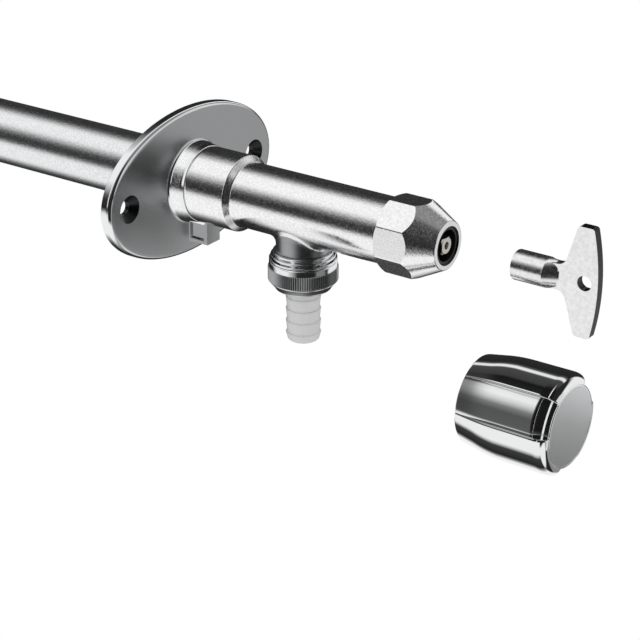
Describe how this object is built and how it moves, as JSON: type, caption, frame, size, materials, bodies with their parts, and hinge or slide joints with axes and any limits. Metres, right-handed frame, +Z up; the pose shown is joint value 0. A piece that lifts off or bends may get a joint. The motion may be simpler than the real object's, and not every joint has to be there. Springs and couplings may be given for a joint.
{
  "type": "frost free sillcock",
  "caption": "Wall tap with a long tube to a shut-off valve at its inner end, an oval wall flange, a vented hose union below, an octagonal nose with a keyhole, a loose key and a lobed knob.",
  "frame": {"origin": "centre of the flange's back face, on the tap axis, midway between the two wall screw holes", "axes": "+X along the tap axis out of the wall, +Y along the flange's width, +Z up; the hose union points along -Z"},
  "size_m": [0.5029, 0.117, 0.1212],
  "materials": {
    "tube_chrome": "satin",
    "cast_chrome": "blasted and plated",
    "bright_chrome": "polished",
    "key_zinc": "tumbled and plated",
    "satin_cap": "satin",
    "stainless": "ground",
    "nickelled_brass": "turned and nickel plated",
    "brass": "turned",
    "black_plastic": "moulded",
    "slip_plastic": "moulded",
    "grey_plastic": "moulded",
    "rubber": "matte"
  },
  "bodies": {
    "wall_plate": {"wall_flange": "cast_chrome", "clamp_screw": "stainless"},
    "tap": {"wall_tube": "tube_chrome", "tap_body": "cast_chrome", "nose_nut": "cast_chrome", "gland_bush": "black_plastic", "gland_o_ring": "rubber", "thrust_washer": "slip_plastic", "rod_guides": "slip_plastic", "spindle_bearing": "brass", "valve_body": "brass", "guide_pin": "stainless", "vent_housing": "bright_chrome", "check_cartridge": "slip_plastic", "hose_gasket": "rubber", "hose_tail": "grey_plastic"},
    "spindle": {"drive_spindle": "nickelled_brass", "spindle_o_rings": "rubber", "stem_rod": "stainless", "stem_pins": "stainless", "screw_spindle": "brass", "retaining_ring": "stainless"},
    "plunger": {"valve_plunger": "brass", "seat_washer": "rubber", "washer_screw": "brass"},
    "float": {"vent_float": "rubber"},
    "poppet": {"check_poppet": "slip_plastic", "poppet_seal": "rubber", "check_spring": "stainless"},
    "union": {"union_nut": "bright_chrome"},
    "key": {"socket_key": "key_zinc"},
    "knob": {"knob_shell": "bright_chrome", "knob_adapter": "black_plastic", "knob_screw": "stainless", "knob_cap": "satin_cap"}
  },
  "joints": [
    {"name": "flange_adjust", "type": "slide", "parent": "wall_plate", "child": "tap", "axis": [1, 0, 0], "range_m": [0, 0.025]},
    {"name": "spindle_turn", "type": "hinge", "parent": "tap", "child": "spindle", "pos_m": [0, 0, 0], "axis": [1, 0, 0], "range_deg": [0, 1080]},
    {"name": "plunger_travel", "type": "slide", "parent": "tap", "child": "plunger", "axis": [1, 0, 0], "range_m": [0, 0.0045]},
    {"name": "key_push", "type": "slide", "parent": "spindle", "child": "key", "axis": [-1, 0, 0], "range_m": [0, 0.0425]},
    {"name": "knob_turn", "type": "hinge", "parent": "tap", "child": "knob", "pos_m": [0.18, 0, -0.0662], "axis": [1, 0, 0], "range_deg": [0, 1080]},
    {"name": "check_open", "type": "slide", "parent": "tap", "child": "poppet", "axis": [0, 0, -1], "range_m": [0, 0.003], "stiffness_N_per_m": 100, "springref_m": -0.003, "deforming": ["check_spring"]},
    {"name": "float_lift", "type": "slide", "parent": "tap", "child": "float", "axis": [0, 0, 1], "range_m": [0, 0.0013]},
    {"name": "union_turn", "type": "hinge", "parent": "tap", "child": "union", "pos_m": [0.0662, 0, -0.03], "axis": [0, 0, 1], "continuous": true}
  ],
  "couplings": [
    {"joint": "plunger_travel", "follows": "spindle_turn", "m_per_rad": 0.00023873},
    {"joint": "knob_turn", "follows": "spindle_turn", "ratio": 1}
  ]
}
